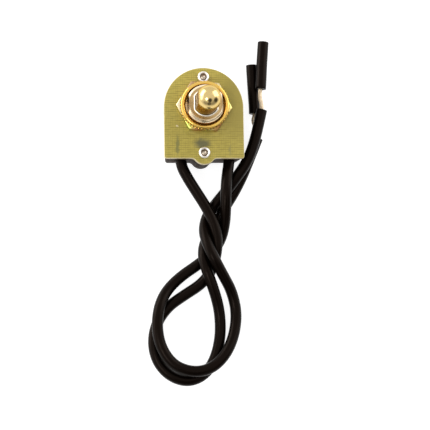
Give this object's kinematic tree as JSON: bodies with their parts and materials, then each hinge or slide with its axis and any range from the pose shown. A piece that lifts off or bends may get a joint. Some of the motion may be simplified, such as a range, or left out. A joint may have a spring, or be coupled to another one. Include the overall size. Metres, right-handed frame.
{
  "type": "push button lamp switch",
  "caption": "Push-on push-off lamp switch: a round-ended brass button in a threaded bushing with two nuts, on a black housing with an olive board and two black leads.",
  "frame": {"origin": "on the bushing's axis, in the plane of the housing's back face", "axes": "+Z is the way the button sticks out, -Y is the way the leads leave, +X is the side of the right lead"},
  "size_m": [0.0347, 0.0961, 0.029],
  "materials": {
    "moulding": "moulded black phenolic",
    "board": "olive woven laminate",
    "bright_rivet": "bright plated",
    "nickel": "warm nickel plating",
    "fibre": "vulcanised fibre",
    "chromate": "yellow chromate on zinc",
    "gold_brass": "bright brass",
    "polished_brass": "polished brass",
    "nylon": "natural nylon",
    "spring_steel": "steel",
    "contact_brass": "stamped brass",
    "tinned_copper": "tinned copper strands",
    "lead_covering": "soft black covering"
  },
  "bodies": {
    "switch": {"housing": "moulding", "rotor_pin": "spring_steel", "left_terminal": "contact_brass", "right_terminal": "contact_brass", "left_root_strands": "tinned_copper", "right_root_strands": "tinned_copper", "insulating_washer": "fibre", "threaded_bushing": "nickel", "cover_plate": "board", "upper_eyelet": "bright_rivet", "lower_eyelet": "bright_rivet", "left_lead": "lead_covering", "right_lead": "lead_covering", "left_tip_strands": "tinned_copper", "right_tip_strands": "tinned_copper", "left_tip_sleeve": "lead_covering", "right_tip_sleeve": "lead_covering"},
    "button": {"push_button": "polished_brass", "plunger": "nylon", "return_spring": "spring_steel"},
    "ratchet_wheel": {"rotor": "nylon", "contact_bridge": "contact_brass"},
    "lock_nut": {"hex_nut": "chromate"},
    "ring_nut": {"knurled_nut": "gold_brass"}
  },
  "joints": [
    {"name": "button_press", "type": "slide", "parent": "switch", "child": "button", "axis": [0, 0, 1], "range_m": [-0.0028, 0], "stiffness_N_per_m": 600, "springref_m": 0.003, "deforming": ["return_spring"]},
    {"name": "rotor_turn", "type": "hinge", "parent": "switch", "child": "ratchet_wheel", "pos_m": [0, 0, 0.003], "axis": [0, 0, 1], "range_deg": [0, 45]},
    {"name": "lock_nut_travel", "type": "slide", "parent": "switch", "child": "lock_nut", "axis": [0, 0, 1], "range_m": [0, 0.004]},
    {"name": "ring_nut_travel", "type": "slide", "parent": "lock_nut", "child": "ring_nut", "axis": [0, 0, 1], "range_m": [0, 0.006]}
  ],
  "couplings": [
    {"joint": "rotor_turn", "follows": "button_press", "rad_per_m": -280.4}
  ]
}
